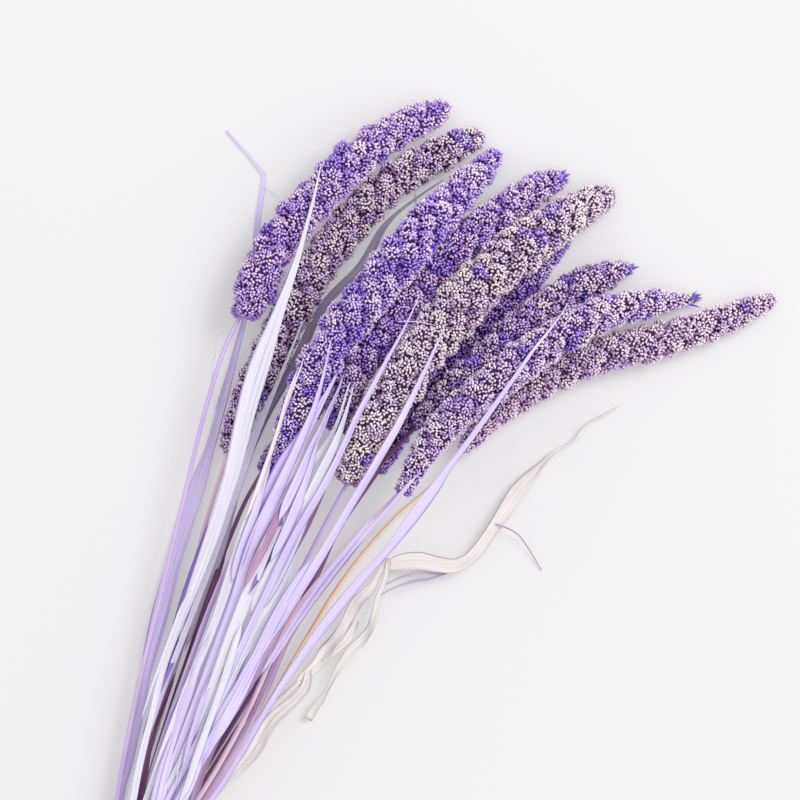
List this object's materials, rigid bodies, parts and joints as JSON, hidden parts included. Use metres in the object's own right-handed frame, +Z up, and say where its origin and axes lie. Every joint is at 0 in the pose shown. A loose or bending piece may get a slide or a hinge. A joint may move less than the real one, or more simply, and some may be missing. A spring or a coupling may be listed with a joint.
{
  "type": "dried setaria bundle",
  "caption": "Bundle of dyed dried setaria: long knobbly seed heads on straw stems with dried leaf blades, gathered by a band near the cut ends, lying flat.",
  "frame": {"origin": "middle of the bounding box, on the surface the bundle lies on", "axes": "+X along the bundle from the cut ends to the tips, +Y to its left seen from above with the tips ahead, +Z up"},
  "size_m": [0.64, 0.3518, 0.0647],
  "materials": {
    "grain_1": "dyed dry grain, matte",
    "grain_2": "dyed dry grain, matte",
    "grain_3": "dyed dry grain, matte",
    "grain_4": "dyed dry grain, matte",
    "grain_5": "dyed dry grain, matte",
    "grain_6": "dyed dry grain, matte",
    "grain_7": "dyed dry grain, matte",
    "grain_8": "dyed dry grain, matte",
    "grain_9": "dyed dry grain, matte",
    "grain_10": "dyed dry grain, matte",
    "straw": "dyed dry straw, satin",
    "leaf_white": "dyed dry leaf, satin",
    "leaf_lavender": "dyed dry leaf, satin",
    "leaf_mauve": "dyed dry leaf, satin",
    "leaf_beige": "dyed dry leaf, satin",
    "band": "natural rubber, matte"
  },
  "bodies": {
    "root": {"seed_head_1": "grain_1", "seed_head_2": "grain_2", "seed_head_3": "grain_3", "seed_head_4": "grain_4", "seed_head_5": "grain_5", "seed_head_6": "grain_6", "seed_head_7": "grain_7", "seed_head_8": "grain_8", "seed_head_9": "grain_9", "seed_head_10": "grain_10", "stem_1": "straw", "stem_2": "straw", "stem_3": "straw", "stem_4": "straw", "stem_5": "straw", "stem_6": "straw", "stem_7": "straw", "stem_8": "straw", "stem_9": "straw", "stem_10": "straw", "blade_broad_white": "leaf_white", "blade_white_right": "leaf_white", "blade_forked_left": "leaf_white", "sheath_centre": "leaf_white", "blade_bent_left": "leaf_lavender", "blade_low_left": "leaf_lavender", "blade_forked_middle": "leaf_lavender", "blade_forked_right": "leaf_lavender", "blade_narrow_left": "leaf_lavender", "blade_narrow_right": "leaf_lavender", "sheath_left": "leaf_mauve", "sheath_right": "leaf_mauve", "blade_between_heads": "leaf_mauve", "ribbon_curly": "leaf_beige", "band": "band"}
  },
  "joints": []
}
